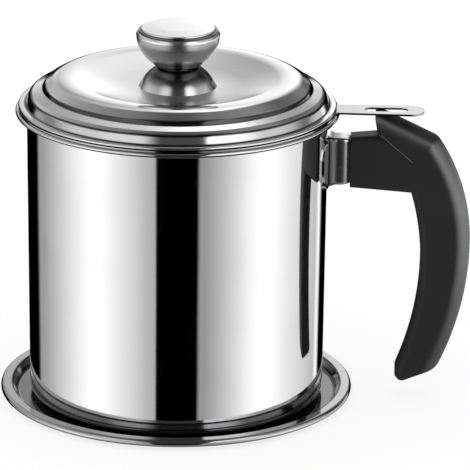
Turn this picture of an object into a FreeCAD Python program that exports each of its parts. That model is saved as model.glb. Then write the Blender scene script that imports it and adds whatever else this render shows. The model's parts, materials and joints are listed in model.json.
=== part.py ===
"""Bacon grease container: a lidded steel pot with a lift-out strainer and a saucer tray.

Millimetres. The origin is the centre of the tray's flat underside, +Z is up
and the handle points along +X. The tray, the pot, the strainer and the lid
are turned about the Z axis and stack on one another.
"""
import FreeCAD, Part
import math
import os

# ---- sheet metal -------------------------------------------------------------
TRAY_SHEET = 0.8            # wall of the saucer tray
POT_SHEET = 0.5             # wall of the drawn pot
STRAINER_SHEET = 0.8        # wall of the strainer frame, which is also its tab
MESH_SHEET = 0.7            # woven mesh, taken as one skin
LID_SHEET = 0.5             # wall of the lid

# ---- saucer tray ----------------------------------------------------------------
TRAY_GUTTER = 4.2           # pot wall to where the floor turns up
TRAY_SLOPE = 2.2            # how far the sloping wall leans out
TRAY_RIM = 4.6              # width of the flat rim with its rolled edge
TRAY_HEIGHT = 4.2           # table to the top of the rim
TRAY_CURL = 1.4             # radius of the rolled edge
TRAY_FLOOR_ROUND = 1.2      # bend between floor and sloping wall
TRAY_RIM_ROUND = 1.0        # bend between sloping wall and rim

# ---- pot ---------------------------------------------------------------------------
POT_RADIUS = 60.0           # outside of the wall under the lip
POT_DRAFT = 0.8             # how much smaller that radius is at the base
POT_HEIGHT = 118.5          # underside to the top of the lip
POT_LIP = 4.5               # how far the rolled lip stands out from the wall
POT_CURL = 0.9              # radius of the rolled lip
POT_CORNER = 4.0            # outside radius between wall and base
BASE_RING = 9.0             # width of the ring that the pot stands on
BASE_RECESS = 0.8           # how far the middle of the base is pressed up
RECESS_ROUND = 1.5          # bends round that middle
LIP_ROOT_ROUND = 1.0        # bend between wall and lip

# ---- strainer ------------------------------------------------------------------------
STRAINER_OVERHANG = 3.6     # flange edge beyond the pot wall
BEAD_HEIGHT = 2.3           # locating bead above the flange
BEAD_WIDTH = 1.8            # outside width of the locating bead
BEAD_ROUND = 0.9            # rounding of the bead's top
BEAD_ROOT_ROUND = 0.3
BASKET_WALL = 13.0          # depth of the frame's wall below the flange
MESH_SEAT = 3.6             # width of the inward seat that holds the mesh
SEAT_BEND = 0.5             # bend between basket wall and seat
MESH_DEPTH = 21.0           # depth of the mesh bowl below its seat
MESH_BOTTOM = 0.78          # corner of the bowl's bottom, as a share of the bowl's radius
MESH_ROUND = 26.0           # rounding of that corner
MESH_EDGE_ROUND = 1.2       # bend between the mesh's flat edge and the bowl
CLAMP_SHEET = 0.8           # thickness of the ring that clamps the mesh
CLAMP_RISE = 4.0            # height of the clamp ring's upstand
CLAMP_ROUND = 0.9
TAB_INSET = 1.0             # how far the tab reaches into the flange, past the bead
TAB_REACH = 38.0            # tab tip beyond the pot wall
TAB_ROOT_WIDTH = 11.5
TAB_TIP_WIDTH = 13.5
TAB_TIP_RADIUS = 5.5
SLOT_LENGTH = 17.0
SLOT_WIDTH = 5.0
SLOT_FROM_TIP = 6.5         # solid end of the tab beyond the slot

# ---- lid ---------------------------------------------------------------------------------
LID_OVERHANG = 3.3          # flange edge beyond the pot wall
LID_CURL = 0.7              # radius of the hem round the flange
LID_STEP_OUT = 0.45         # the step ring's root beyond the pot wall
STEP_LEAN = 1.6             # how far the step ring's wall leans inwards
STEP_SHOULDER = 4.3         # flange top to the shoulder corner of the step ring
STEP_ROUND = 3.6            # radius of the step ring's shoulder
STEP_ROOT_ROUND = 0.6       # bend between flange and step ring
STEP_LEDGE = 5.1            # step ring's shoulder to the foot of the dome's wall
DOME_FOOT_RISE = 6.0        # flange top to the foot of the dome's wall
DOME_FOOT_ROUND = 0.6
SHOULDER_LEAN = 0.7         # lean of the dome's wall
SHOULDER_RISE = 7.8
SHOULDER_ROUND = 2.6
HAUNCH_IN = 5.2             # dome's foot to where it flattens out
HAUNCH_RISE = 10.4
HAUNCH_ROUND = 7.0
CREST_IN = 10.2             # dome's foot to its highest ring
CREST_RISE = 10.9           # flange top to the crest
CREST_ROUND = 26.0
SEAT_RADIUS = 21.0          # flat seat for the knob, in the middle of the dish
SEAT_RISE = 6.8             # flange top to the knob's seat
SEAT_ROUND = 60.0

# ---- knob --------------------------------------------------------------------------------
KNOB_SHEET = 0.6
SKIRT_RADIUS = 15.5         # foot of the bell-shaped skirt
SKIRT_HEIGHT = 8.0
SKIRT_TOP_RADIUS = 8.6
SKIRT_BULGE = 0.9           # how far the bell's flank stands out from a straight cone
SKIRT_BULGE_AT = 0.57       # height of that bulge, as a share of the skirt's
SKIRT_BULGE_ROUND = 12.0
SKIRT_TOP_ROUND = 1.2
NECK_GAP = 0.6              # between the skirt's top and the bowl
BOWL_FOOT_RADIUS = 9.0      # flat bottom of the bowl
BOWL_RADIUS = 16.7          # widest ring of the bowl
BOWL_HEIGHT = 12.7          # bowl's bottom to its widest ring
BOWL_LIP_RISE = 1.2         # widest ring to the top of the turned-in lip
BOWL_LIP_RADIUS = 16.0      # outside of the turned-in lip
BOWL_MOUTH_RADIUS = 14.0    # hole that the lip leaves
BOWL_FOOT_ROUND = 1.3
BOWL_FLANK_IN = 1.1         # corner of the bowl's flank inside its widest ring
BOWL_FLANK_AT = 0.45        # height of that corner, as a share of the bowl's
BOWL_FLANK_ROUND = 12.0
BOWL_WIDEST_ROUND = 1.2
BOWL_LIP_ROUND = 0.8
CAP_RADIUS = 14.75          # raised disc of the cap
CAP_BRIM_RADIUS = 15.6      # its brim, which is welded to the bowl's lip
CAP_RISE = 0.7              # disc's edge above the brim
CAP_CROWN = 0.3             # middle of the disc above its edge
CAP_CROWN_ROUND = 40.0
CAP_EDGE_ROUND = 0.4
CAP_BRIM_ROUND = 0.2
KNOB_NUT_FLATS = 10.0
KNOB_NUT_HEIGHT = 5.0
NECK_RADIUS = 6.4           # spacer between skirt and bowl
SCREW_RADIUS = 2.0          # M4, in the knob and in the handle
SCREW_HEAD_RADIUS = 4.0
SCREW_HEAD_HEIGHT = 1.9
SCREW_HEAD_ROUND = 1.0
WASHER_RADIUS = 6.0
WASHER_HEIGHT = 0.5
SOCKET_RADIUS = 1.5         # drive recess in a screw head
SOCKET_DEPTH = 1.2

# ---- handle ------------------------------------------------------------------------------
PLATE_SHEET = 1.0           # base plate that is welded to the pot
PLATE_WIDTH = 30.0
PLATE_HEIGHT = 21.0
PLATE_CORNER = 9.0
FERRULE_HEIGHT = 19.4
FERRULE_WIDTH = 9.6
FERRULE_CORNER = 1.6
FERRULE_SHEET = 1.0
FERRULE_FOOT = 1.2          # flare of the ferrule's foot at its sides
FERRULE_FOOT_ABOVE = 0.5    # flare above and below
FERRULE_FOOT_LENGTH = 2.0
STUB_LENGTH = 5.5           # how far the grip enters the ferrule
ARM_BELOW_LIP = 20.0        # lip top down to the middle of ferrule and tongue
GRIP_START = 9.0            # pot wall to the grip's end face
TONGUE_WIDTH = 7.0
TONGUE_HEIGHT = 5.0
TONGUE_REACH = 28.0         # pot wall to the tongue's tip
HANDLE_SCREW_REACH = 21.5   # pot wall to the handle screw
HANDLE_SCREW_HOLD = 4.5     # grip between screw head and tongue
COUNTERBORE_RADIUS = 4.6    # clearance round the screw's head

GRIP_THICKNESS = 15.0
GRIP_SPINE_ROUND = 6.7      # rounding of the outer edges
GRIP_PALM_ROUND = 3.0       # rounding of the edges that the fingers close round
ARM_TOP_ROUND = 3.6         # rounding of the arm's upper edges
GRIP_EDGE_ROUND = 1.4       # rounding of all its other edges
BACK_ROUND = 7.0            # roundings of the side view's corners
HEEL_ROUND = 6.0
NOSE_ROUND = 1.2
TIP_ROUND = 2.6
CREASE_ROUND = 8.0
ARM_TAPER = 1.1             # how much thinner each side of the arm is at its end face
ARM_FULL_REACH = 32.5       # pot wall to where the arm is as thick as the hook
ARM_OVERRUN = 3.0           # how far the arm runs into the hook, past the crease
ARM_STAND_OUT = 0.2         # arm's underside below the hook's inner corner
BLOCK_OVERRUN = 30.0        # how far the blocks that round the grip's edges stand past it
CREASE_REACH = 33.9         # pot wall to the low end of the crease under the nose
CREASE_BELOW_LIP = 20.5
ARM_SHOULDER = 0.5          # arm's end face beyond the ferrule, above and below
ARM_TOP_RISE = 1.2          # the arm's top climbs towards the nose
ARM_FOOT_DROP = 1.2         # its underside falls towards the inner corner
NOSE_REACH = 18.4           # pot wall to the front of the nose
NOSE_UNDERCUT = 1.5
NOSE_BELOW_TAB = 0.2        # clearance under the strainer's tab
NOSE_LENGTH = 5.2           # flat top of the nose
BACK_REACH = 43.8           # pot wall to the corner behind the nose
BACK_BELOW_LIP = 9.8
OUTER_REACH = 57.5          # pot wall to the back of the grip's belly
OUTER_BELLY_BELOW_LIP = 53.6
INNER_REACH = 37.7          # pot wall to the front of the grip's belly
INNER_BELLY_BELOW_LIP = 60.6
INNER_CORNER_REACH = 33.3   # pot wall to the corner under the arm
HEEL_REACH = 45.8           # corner at the back of the grip's lower end
HEEL_HEIGHT = 13.7          # that corner above the table
TIP_REACH = 28.0            # front of the lower end
TIP_HEIGHT = 7.6            # lowest point above the table
TIP_RISE = 3.2              # tip's front edge above its lowest point
TIP_FLAT = 2.6              # tip's front to that lowest point

# ---- clearances ----------------------------------------------------------------------------
LID_CLEARANCE = 0.3         # lid round the strainer's locating bead
CLAMP_CLEARANCE = 0.1       # clamp ring inside the frame
MESH_CLEARANCE = 0.7        # edge of the mesh inside the frame's wall
POCKET_CLEARANCE = 0.1      # grip inside the ferrule and round the tongue
SCREW_CLEARANCE = 0.2       # plain holes round a screw

# ---- working margins of cuts and tests, which leave no trace on the pieces ------------------------
OVERCUT = 4.0               # bars start this far inside the pot's wall before it trims them
ALIGNED = 0.99              # cosine above which two directions count as the same
NEAR = 0.01                 # distance below which two places count as the same

# ---- levels worked out from the sizes above ----------------------------------------------------
POT_FLOOR_Z = TRAY_SHEET
LIP_Z = POT_FLOOR_Z + POT_HEIGHT
FLANGE_Z = LIP_Z + STRAINER_SHEET
LID_Z = FLANGE_Z + 2 * LID_CURL
SEAT_Z = LID_Z + SEAT_RISE
BOWL_Z = SEAT_Z + SKIRT_HEIGHT + NECK_GAP
ARM_Z = LIP_Z - ARM_BELOW_LIP
ARM_TOP_Z = ARM_Z + FERRULE_HEIGHT / 2 + ARM_SHOULDER
ARM_FOOT_Z = ARM_Z - FERRULE_HEIGHT / 2 - ARM_SHOULDER
INNER_CORNER_Z = ARM_FOOT_Z - ARM_FOOT_DROP
FOOT_RADIUS = POT_RADIUS - POT_DRAFT
STEP_RADIUS = POT_RADIUS + LID_STEP_OUT
DOME_FOOT_RADIUS = STEP_RADIUS - STEP_LEAN - STEP_LEDGE
TRAY_FLOOR_RADIUS = POT_RADIUS + TRAY_GUTTER
TRAY_RIM_RADIUS = TRAY_FLOOR_RADIUS + TRAY_SLOPE
TRAY_RADIUS = TRAY_RIM_RADIUS + TRAY_RIM
LEAN_AT_BEAD = STEP_LEAN * (BEAD_HEIGHT - 2 * LID_CURL) / STEP_SHOULDER
BEAD_RADIUS = STEP_RADIUS - LEAN_AT_BEAD - LID_SHEET - LID_CLEARANCE
BASKET_RADIUS = BEAD_RADIUS - BEAD_WIDTH
MESH_SEAT_Z = FLANGE_Z - BASKET_WALL


# ---- outlines and turned shapes --------------------------------------------------------------
def at(radius, height):
    """A point of the half section."""
    return FreeCAD.Vector(radius, 0, height)


def rounded_edges(corners):
    """Edges through corners (radius, height, rounding), with tangent arcs."""
    edges = []
    here = at(*corners[0][:2])
    for index in range(1, len(corners)):
        corner = at(*corners[index][:2])
        rounding = corners[index][2] if index < len(corners) - 1 else 0
        if rounding <= 0:
            leave = corner
            arc = None
        else:
            back = (at(*corners[index - 1][:2]) - corner).normalize()
            ahead = (at(*corners[index + 1][:2]) - corner).normalize()
            half = back.getAngle(ahead) / 2
            trim = rounding / math.tan(half)
            leave = corner + back * trim
            arrive = corner + ahead * trim
            middle = corner + (back + ahead).normalize() * (rounding / math.sin(half) - rounding)
            arc = Part.Arc(leave, middle, arrive).toShape()
        if here.distanceToPoint(leave) > 1e-6:
            edges.append(Part.makeLine(here, leave))
        here = leave
        if arc:
            edges.append(arc)
            here = arrive
    return edges


def offset_corners(corners, distance):
    """The same outline moved to the left of its direction by the distance."""
    legs = []
    for first, second in zip(corners, corners[1:]):
        along = (at(*second[:2]) - at(*first[:2])).normalize()
        left = at(-along.z, along.x)
        legs.append((at(*first[:2]) + left * distance, along))
    moved = []
    for index, corner in enumerate(corners):
        if index == 0:
            place = legs[0][0]
        elif index == len(corners) - 1:
            left = at(-legs[-1][1].z, legs[-1][1].x)
            place = at(*corner[:2]) + left * distance
        else:
            start, along = legs[index - 1]
            other, ahead = legs[index]
            cross = along.x * ahead.z - along.z * ahead.x
            gap = other - start
            place = start + along * ((gap.x * ahead.z - gap.z * ahead.x) / cross)
        rounding = corner[2]
        if 0 < index < len(corners) - 1 and rounding > 0:
            turn = legs[index - 1][1].x * legs[index][1].z - legs[index - 1][1].z * legs[index][1].x
            rounding = rounding - distance if turn > 0 else rounding + distance
        moved.append((place.x, place.z, max(rounding, 0)))
    return moved


def turned(edges):
    """The solid that a closed half section makes about the Z axis."""
    face = Part.Face(Part.Wire(Part.__sortEdges__(edges)))
    solid = face.revolve(at(0, 0), FreeCAD.Vector(0, 0, 1), 360)
    return upright(solid)


def upright(shape):
    """One solid with its faces pointing outwards."""
    solid = shape if shape.ShapeType == "Solid" else shape.Solids[0]
    if solid.Volume < 0:
        solid.reverse()
    return solid


def spun_sheet(corners, thickness):
    """Sheet metal turned about the Z axis, thickened to the left of its section line."""
    other = offset_corners(corners, thickness)
    edges = rounded_edges(corners)
    facing = rounded_edges(other)
    for end, match in ((corners[0], other[0]), (corners[-1], other[-1])):
        edges.append(Part.makeLine(at(*end[:2]), at(*match[:2])))
    return turned(edges + facing)


def upright_cylinder(radius, height, z, x=0.0):
    return Part.makeCylinder(radius, height, FreeCAD.Vector(x, 0, z))


def rounded_bar(x_from, x_to, width, height, corner, z_middle):
    """A bar along X whose section is a rectangle with rounded corners."""
    bar = Part.makeBox(x_to - x_from, width, height,
                       FreeCAD.Vector(x_from, -width / 2, z_middle - height / 2))
    if corner > 0:
        bar = bar.makeFillet(corner, edges_where(bar, lambda middle, along: abs(along.x) > ALIGNED))
    return bar


def edges_where(shape, test):
    """Edges of a shape whose middle point and direction pass the test."""
    chosen = []
    for edge in shape.Edges:
        halfway = (edge.FirstParameter + edge.LastParameter) / 2
        if test(edge.valueAt(halfway), edge.tangentAt(halfway)):
            chosen.append(edge)
    return chosen


# ---- tray --------------------------------------------------------------------------------------
def drip_tray():
    """Saucer with a flat rim whose edge is rolled under."""
    curl_low = TRAY_HEIGHT - 2 * TRAY_CURL
    curl_in = TRAY_RADIUS - 2 * TRAY_CURL
    corners = [
        (0, TRAY_SHEET, 0),
        (TRAY_FLOOR_RADIUS, TRAY_SHEET, TRAY_FLOOR_ROUND),
        (TRAY_RIM_RADIUS, TRAY_HEIGHT, TRAY_RIM_ROUND),
        (TRAY_RADIUS, TRAY_HEIGHT, TRAY_CURL),
        (TRAY_RADIUS, curl_low, TRAY_CURL),
        (curl_in, curl_low, TRAY_CURL),
        (curl_in, curl_low + TRAY_CURL, 0),
    ]
    return spun_sheet(corners, -TRAY_SHEET)


# ---- pot ---------------------------------------------------------------------------------------
def pot_body():
    """Deep-drawn pot: recessed base, wall with a slight draft and a rolled lip."""
    ring_in = FOOT_RADIUS - POT_CORNER - BASE_RING
    lip_radius = POT_RADIUS + POT_LIP
    flange_under = LIP_Z - POT_SHEET
    curl = POT_CURL - POT_SHEET
    curl_out = lip_radius - POT_SHEET
    curl_in = curl_out - 2 * curl
    curl_low = flange_under - 2 * curl
    corners = [
        (0, POT_FLOOR_Z + BASE_RECESS, 0),
        (ring_in - BASE_RECESS, POT_FLOOR_Z + BASE_RECESS, RECESS_ROUND),
        (ring_in + BASE_RECESS, POT_FLOOR_Z, RECESS_ROUND),
        (FOOT_RADIUS, POT_FLOOR_Z, POT_CORNER),
        (POT_RADIUS, flange_under, LIP_ROOT_ROUND),
        (curl_out, flange_under, curl),
        (curl_out, curl_low, curl),
        (curl_in, curl_low, curl),
        (curl_in, curl_low + curl, 0),
    ]
    return spun_sheet(corners, POT_SHEET)


# ---- strainer ------------------------------------------------------------------------------------
def tab_blank():
    """The tongue that stands out over the handle, with its hanging slot."""
    root = BASKET_RADIUS + BEAD_WIDTH + TAB_INSET
    tip = POT_RADIUS + TAB_REACH
    half_root = TAB_ROOT_WIDTH / 2
    half_tip = TAB_TIP_WIDTH / 2
    points = [FreeCAD.Vector(x, y, LIP_Z) for x, y in
              ((root, -half_root), (tip, -half_tip), (tip, half_tip), (root, half_root))]
    blank = Part.Face(Part.makePolygon(points + points[:1]))
    blank = blank.extrude(FreeCAD.Vector(0, 0, STRAINER_SHEET))
    tip_corners = [edge for edge in blank.Edges
                   if edge.BoundBox.ZLength > STRAINER_SHEET / 2 and edge.BoundBox.XMin > tip - NEAR]
    blank = blank.makeFillet(TAB_TIP_RADIUS, tip_corners)
    slot_end = tip - SLOT_FROM_TIP - SLOT_WIDTH / 2
    slot_start = slot_end - SLOT_LENGTH + SLOT_WIDTH
    slot = Part.makeBox(slot_end - slot_start, SLOT_WIDTH, 3 * STRAINER_SHEET,
                        FreeCAD.Vector(slot_start, -SLOT_WIDTH / 2, LIP_Z - STRAINER_SHEET))
    for x in (slot_start, slot_end):
        slot = slot.fuse(upright_cylinder(SLOT_WIDTH / 2, 3 * STRAINER_SHEET, LIP_Z - STRAINER_SHEET, x))
    return blank.cut(slot)


def strainer_frame():
    """Flange with its tab, a locating bead for the lid, a wall and an inward seat."""
    bead_z = FLANGE_Z + BEAD_HEIGHT
    corners = [
        (POT_RADIUS + STRAINER_OVERHANG, FLANGE_Z, 0),
        (BEAD_RADIUS, FLANGE_Z, BEAD_ROOT_ROUND),
        (BEAD_RADIUS, bead_z, BEAD_ROUND),
        (BASKET_RADIUS, bead_z, BEAD_ROUND),
        (BASKET_RADIUS, MESH_SEAT_Z, SEAT_BEND),
        (BASKET_RADIUS - MESH_SEAT, MESH_SEAT_Z, 0),
    ]
    frame = spun_sheet(corners, STRAINER_SHEET)
    return upright(frame.fuse(tab_blank()).removeSplitter())


def strainer_mesh():
    """Fine mesh bowl with a flat edge that lies on the frame's seat."""
    edge = BASKET_RADIUS - MESH_CLEARANCE
    bowl_radius = BASKET_RADIUS - MESH_SEAT - MESH_SHEET
    bottom = MESH_SEAT_Z - MESH_DEPTH
    corners = [
        (edge, MESH_SEAT_Z, 0),
        (bowl_radius, MESH_SEAT_Z, MESH_EDGE_ROUND),
        (bowl_radius * MESH_BOTTOM, bottom, MESH_ROUND),
        (0, bottom, 0),
    ]
    return spun_sheet(corners, -MESH_SHEET)


def strainer_clamp_ring():
    """Ring that presses the mesh down on the frame's seat."""
    low = MESH_SEAT_Z + MESH_SHEET
    outer = BASKET_RADIUS - CLAMP_CLEARANCE
    corners = [
        (BASKET_RADIUS - MESH_SEAT, low, 0),
        (outer, low, CLAMP_ROUND),
        (outer, low + CLAMP_RISE, 0),
    ]
    return spun_sheet(corners, CLAMP_SHEET)


# ---- lid and knob --------------------------------------------------------------------------------
def lid_shell():
    """Dished dome on a step ring, with a hemmed flange that lies on the strainer."""
    flange_radius = POT_RADIUS + LID_OVERHANG
    hem_in = flange_radius - 2 * LID_CURL
    corners = [
        (0, SEAT_Z, 0),
        (SEAT_RADIUS, SEAT_Z, SEAT_ROUND),
        (DOME_FOOT_RADIUS - CREST_IN, LID_Z + CREST_RISE, CREST_ROUND),
        (DOME_FOOT_RADIUS - HAUNCH_IN, LID_Z + HAUNCH_RISE, HAUNCH_ROUND),
        (DOME_FOOT_RADIUS - SHOULDER_LEAN, LID_Z + SHOULDER_RISE, SHOULDER_ROUND),
        (DOME_FOOT_RADIUS, LID_Z + DOME_FOOT_RISE, DOME_FOOT_ROUND),
        (STEP_RADIUS - STEP_LEAN, LID_Z + STEP_SHOULDER, STEP_ROUND),
        (STEP_RADIUS, LID_Z, STEP_ROOT_ROUND),
        (flange_radius, LID_Z, LID_CURL),
        (flange_radius, FLANGE_Z, LID_CURL),
        (hem_in, FLANGE_Z, 0),
    ]
    shell = spun_sheet(corners, -LID_SHEET)
    hole = upright_cylinder(SCREW_RADIUS + SCREW_CLEARANCE, 4 * LID_SHEET, SEAT_Z - 2 * LID_SHEET)
    return upright(shell.cut(hole))


def knob_skirt():
    """Bell that covers the knob's foot, with a flat top round the screw."""
    top = SEAT_Z + SKIRT_HEIGHT
    bulge_radius = (SKIRT_RADIUS + SKIRT_TOP_RADIUS) / 2 + SKIRT_BULGE
    corners = [
        (SKIRT_RADIUS, SEAT_Z, 0),
        (bulge_radius, SEAT_Z + SKIRT_HEIGHT * SKIRT_BULGE_AT, SKIRT_BULGE_ROUND),
        (SKIRT_TOP_RADIUS, top, SKIRT_TOP_ROUND),
        (SCREW_RADIUS + SCREW_CLEARANCE, top, 0),
    ]
    bell = spun_sheet(corners, KNOB_SHEET)
    return upright(bell.cut(upright_cylinder(SKIRT_RADIUS + KNOB_SHEET, KNOB_SHEET, SEAT_Z - KNOB_SHEET)))


def knob_spacer():
    """Neck between the skirt and the bowl."""
    z = SEAT_Z + SKIRT_HEIGHT
    outer = upright_cylinder(NECK_RADIUS, NECK_GAP, z)
    return upright(outer.cut(upright_cylinder(SCREW_RADIUS + SCREW_CLEARANCE, NECK_GAP, z)))


def knob_bowl():
    """Bowl with a flat bottom round the screw and a lip that is turned in."""
    widest = BOWL_Z + BOWL_HEIGHT
    lip = widest + BOWL_LIP_RISE
    corners = [
        (SCREW_RADIUS + SCREW_CLEARANCE, BOWL_Z, 0),
        (BOWL_FOOT_RADIUS, BOWL_Z, BOWL_FOOT_ROUND),
        (BOWL_RADIUS - BOWL_FLANK_IN, BOWL_Z + BOWL_HEIGHT * BOWL_FLANK_AT, BOWL_FLANK_ROUND),
        (BOWL_RADIUS, widest, BOWL_WIDEST_ROUND),
        (BOWL_LIP_RADIUS, lip, BOWL_LIP_ROUND),
        (BOWL_MOUTH_RADIUS, lip, 0),
    ]
    return spun_sheet(corners, KNOB_SHEET)


def knob_cap():
    """Raised disc whose brim closes the bowl."""
    brim = BOWL_Z + BOWL_HEIGHT + BOWL_LIP_RISE + KNOB_SHEET
    corners = [
        (0, brim + CAP_RISE + CAP_CROWN, 0),
        (CAP_RADIUS / 2, brim + CAP_RISE + CAP_CROWN, CAP_CROWN_ROUND),
        (CAP_RADIUS, brim + CAP_RISE, CAP_EDGE_ROUND),
        (CAP_RADIUS, brim, CAP_BRIM_ROUND),
        (CAP_BRIM_RADIUS, brim, 0),
    ]
    return spun_sheet(corners, -KNOB_SHEET)


def hexagon(flats, height, z):
    """Six-sided prism about the Z axis."""
    reach = flats / math.sqrt(3)
    points = [FreeCAD.Vector(reach * math.cos(math.radians(60 * k)),
                             reach * math.sin(math.radians(60 * k)), z) for k in range(7)]
    return Part.Face(Part.makePolygon(points)).extrude(FreeCAD.Vector(0, 0, height))


def knob_nut():
    """Nut welded inside the bowl."""
    z = BOWL_Z + KNOB_SHEET
    nut = hexagon(KNOB_NUT_FLATS, KNOB_NUT_HEIGHT, z)
    return upright(nut.cut(upright_cylinder(SCREW_RADIUS, KNOB_NUT_HEIGHT, z)))


def screw_up(x, head_z, tip_z):
    """Pan-head screw that stands upright with its head below."""
    head_top = head_z + SCREW_HEAD_HEIGHT
    screw = upright_cylinder(SCREW_HEAD_RADIUS, SCREW_HEAD_HEIGHT, head_z, x)
    rim = [edge for edge in screw.Edges if edge.BoundBox.ZMax < head_z + NEAR and edge.Closed]
    screw = screw.makeFillet(SCREW_HEAD_ROUND, rim)
    screw = screw.fuse(upright_cylinder(SCREW_RADIUS, tip_z - head_top, head_top, x))
    recess = upright_cylinder(SOCKET_RADIUS, SOCKET_DEPTH, head_z, x)
    return upright(screw.cut(recess).removeSplitter())


def knob_washer():
    z = SEAT_Z - LID_SHEET - WASHER_HEIGHT
    washer = upright_cylinder(WASHER_RADIUS, WASHER_HEIGHT, z)
    return upright(washer.cut(upright_cylinder(SCREW_RADIUS + SCREW_CLEARANCE, WASHER_HEIGHT, z)))


def knob_screw():
    head_z = SEAT_Z - LID_SHEET - WASHER_HEIGHT - SCREW_HEAD_HEIGHT
    return screw_up(0, head_z, BOWL_Z + KNOB_SHEET + KNOB_NUT_HEIGHT)


# ---- handle ----------------------------------------------------------------------------------------
def wall_core(out, height):
    """Cone as high as asked, about the arm's middle, that stands out from the pot's wall by this much."""
    radii = [POT_RADIUS + out - POT_DRAFT * (LIP_Z - POT_SHEET - z) / (POT_HEIGHT - POT_SHEET)
             for z in (ARM_Z - height / 2, ARM_Z + height / 2)]
    return Part.makeCone(*radii, height, FreeCAD.Vector(0, 0, ARM_Z - height / 2))


def handle_base_plate():
    """Plate bent to the pot's wall, with rounded ends."""
    ring = wall_core(PLATE_SHEET, PLATE_HEIGHT).cut(wall_core(0, PLATE_HEIGHT))
    window = rounded_bar(POT_RADIUS / 2, POT_RADIUS + PLATE_SHEET, PLATE_WIDTH, PLATE_HEIGHT, PLATE_CORNER, ARM_Z)
    return upright(ring.common(window))


def handle_ferrule():
    """Steel sleeve between base plate and grip, with a flared foot."""
    start = POT_RADIUS - OVERCUT
    end = POT_RADIUS + GRIP_START
    foot_end = POT_RADIUS + PLATE_SHEET + FERRULE_FOOT_LENGTH
    sleeve = rounded_bar(start, end, FERRULE_WIDTH, FERRULE_HEIGHT, FERRULE_CORNER, ARM_Z)
    foot = rounded_bar(start, foot_end, FERRULE_WIDTH + 2 * FERRULE_FOOT,
                       FERRULE_HEIGHT + 2 * FERRULE_FOOT_ABOVE, FERRULE_CORNER + FERRULE_FOOT, ARM_Z)
    hollow = rounded_bar(start, end, FERRULE_WIDTH - 2 * FERRULE_SHEET,
                         FERRULE_HEIGHT - 2 * FERRULE_SHEET, FERRULE_CORNER - FERRULE_SHEET, ARM_Z)
    return upright(sleeve.fuse(foot).cut(hollow).cut(wall_core(PLATE_SHEET, 2 * FERRULE_HEIGHT)).removeSplitter())


def handle_tongue():
    """Bar welded to the base plate, tapped for the handle's screw."""
    bar = rounded_bar(POT_RADIUS - OVERCUT, POT_RADIUS + TONGUE_REACH, TONGUE_WIDTH, TONGUE_HEIGHT, 0, ARM_Z)
    tapped = upright_cylinder(SCREW_RADIUS, 2 * TONGUE_HEIGHT, ARM_Z - TONGUE_HEIGHT,
                              POT_RADIUS + HANDLE_SCREW_REACH)
    return upright(bar.cut(wall_core(PLATE_SHEET, 2 * TONGUE_HEIGHT)).cut(tapped))


def belly_arc(end, belly):
    """Arc from an end point to the belly's widest point, where it runs upright."""
    across = belly.x - end.x
    upwards = end.z - belly.z
    radius = (across ** 2 + upwards ** 2) / (2 * across)
    angle = math.asin(upwards / radius) / 2
    middle = FreeCAD.Vector(belly.x - radius + radius * math.cos(angle), 0,
                            belly.z + radius * math.sin(angle))
    return end, middle, belly


def belly_arcs():
    """Front and back of the belly, each as two arcs that meet where it is upright."""
    inner_belly = at(POT_RADIUS + INNER_REACH, LIP_Z - INNER_BELLY_BELOW_LIP)
    outer_belly = at(POT_RADIUS + OUTER_REACH, LIP_Z - OUTER_BELLY_BELOW_LIP)
    inner_corner = at(POT_RADIUS + INNER_CORNER_REACH, INNER_CORNER_Z)
    tip_front = at(POT_RADIUS + TIP_REACH, TIP_HEIGHT + TIP_RISE)
    heel = at(POT_RADIUS + HEEL_REACH, HEEL_HEIGHT)
    back = at(POT_RADIUS + BACK_REACH, LIP_Z - BACK_BELOW_LIP)
    front = [Part.Arc(*belly_arc(end, inner_belly)).toShape() for end in (inner_corner, tip_front)]
    rear = [Part.Arc(*belly_arc(end, outer_belly)).toShape() for end in (heel, back)]
    return front, rear


def side_view(edges, thickness):
    """A closed side view pulled out to both sides of the XZ plane."""
    face = Part.Face(Part.Wire(Part.__sortEdges__(edges)))
    face.translate(FreeCAD.Vector(0, -thickness / 2, 0))
    return face.extrude(FreeCAD.Vector(0, thickness, 0))


def path(points):
    """Straight edges through the points."""
    return [Part.makeLine(first, second) for first, second in zip(points, points[1:])]


def crosswise_at(solid, point):
    """The edge across the grip that runs through a corner of its side view."""
    return edges_where(solid, lambda middle, along: abs(along.y) > ALIGNED
                       and middle.distanceToPoint(point) < NEAR)


def crease():
    """Upper and lower end of the crease between arm and hook."""
    return (at(POT_RADIUS + NOSE_REACH + NOSE_UNDERCUT, ARM_TOP_Z + ARM_TOP_RISE),
            at(POT_RADIUS + CREASE_REACH, LIP_Z - CREASE_BELOW_LIP))


def nose_top():
    """Front and back end of the nose's flat top."""
    return [at(POT_RADIUS + x, LIP_Z - NOSE_BELOW_TAB) for x in (NOSE_REACH, NOSE_REACH + NOSE_LENGTH)]


def hook():
    """Nose, belly and lower end; its front face follows the crease beside the arm."""
    front, rear = belly_arcs()
    root, crease_end = crease()
    nose_front, nose_back = nose_top()
    heel, back = (arc.Vertexes[0].Point for arc in rear)
    inner_corner, tip_front = (arc.Vertexes[0].Point for arc in front)
    tip_low = at(tip_front.x + TIP_FLAT, TIP_HEIGHT)
    outline = path([back, nose_back, nose_front, root, crease_end, inner_corner])
    outline += front + rear + path([tip_front, tip_low, heel])
    solid = side_view(outline, GRIP_THICKNESS)
    for point, rounding in ((nose_back, NOSE_ROUND), (nose_front, NOSE_ROUND), (tip_low, TIP_ROUND),
                            (tip_front, TIP_ROUND), (crease_end, CREASE_ROUND), (back, BACK_ROUND),
                            (heel, HEEL_ROUND)):
        solid = solid.makeFillet(rounding, crosswise_at(solid, point))
    rims = edges_where(solid, lambda middle, along: abs(along.y) < NEAR
                       and abs(middle.y) > GRIP_THICKNESS / 2 - NEAR)
    return solid.makeFillet(GRIP_EDGE_ROUND, rims)


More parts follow.
